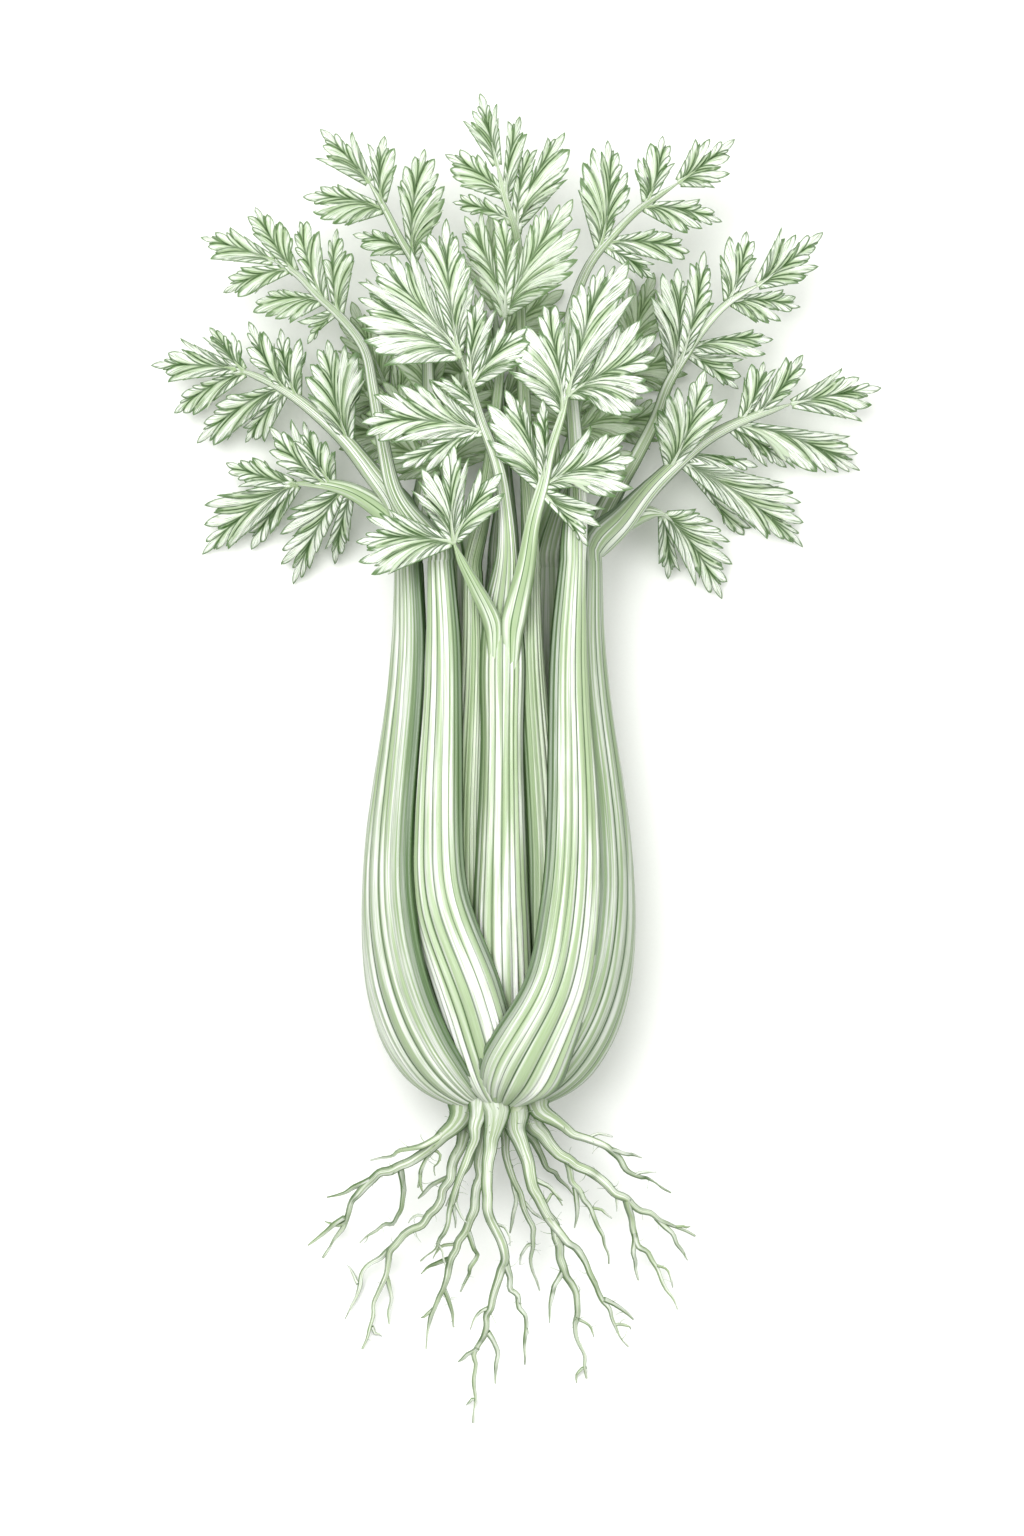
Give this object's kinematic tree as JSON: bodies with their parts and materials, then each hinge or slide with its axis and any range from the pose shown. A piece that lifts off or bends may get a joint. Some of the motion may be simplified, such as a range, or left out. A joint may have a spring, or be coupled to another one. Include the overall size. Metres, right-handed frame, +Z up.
{
  "type": "head of celery",
  "caption": "Whole head of celery lying on its back, a slim bulb of ribbed stalks with spreading lobed leaves at one end and branching roots at the other.",
  "frame": {"origin": "on the surface that the head lies on, under the middle of its bounding box", "axes": "+Y from the roots to the leaf tips, +X to the head's right seen from its front, +Z up out of its front"},
  "size_m": [0.295, 0.5342, 0.1026],
  "materials": {
    "stalk": "pale green celery stalk with fine ribs along it and a slight waxy gloss",
    "inner_stalk": "inner stalk, smoother and a little greener",
    "leaf": "satin green leaf with dark veins and a pale midrib",
    "crown": "fibrous pale base between the stalks and the roots",
    "root": "matt off-white root with fine lines along it"
  },
  "bodies": {
    "root": {"crown": "crown", "stalk_front_right": "stalk", "stalk_front_left": "stalk", "stalk_front_centre": "stalk", "stalk_left": "stalk", "stalk_right": "stalk", "stalk_back_left": "stalk", "stalk_back_right": "stalk", "stalk_back_middle": "stalk", "stalk_back_lower_left": "stalk", "stalk_back_lower_right": "stalk", "stalk_inner_left": "inner_stalk", "stalk_inner_right": "inner_stalk", "stalk_heart_left": "inner_stalk", "stalk_heart_right": "inner_stalk", "root_far_left": "root", "root_left": "root", "root_left_inner": "root", "root_centre_left": "root", "root_tap": "root", "root_centre": "root", "root_centre_right": "root", "root_right": "root", "root_far_right": "root", "root_under_left": "root", "root_under_right": "root", "leaf_front_centre": "leaf", "leaf_left": "leaf", "leaf_right": "leaf", "leaf_front_left": "leaf", "leaf_front_right": "leaf", "leaf_inner_left": "leaf", "leaf_inner_right": "leaf", "leaf_back_left": "leaf", "leaf_back_right": "leaf", "leaf_back_lower_left": "leaf", "leaf_back_middle": "leaf", "leaf_back_lower_right": "leaf", "leaf_heart_left": "leaf", "leaf_heart_right": "leaf"}
  },
  "joints": []
}
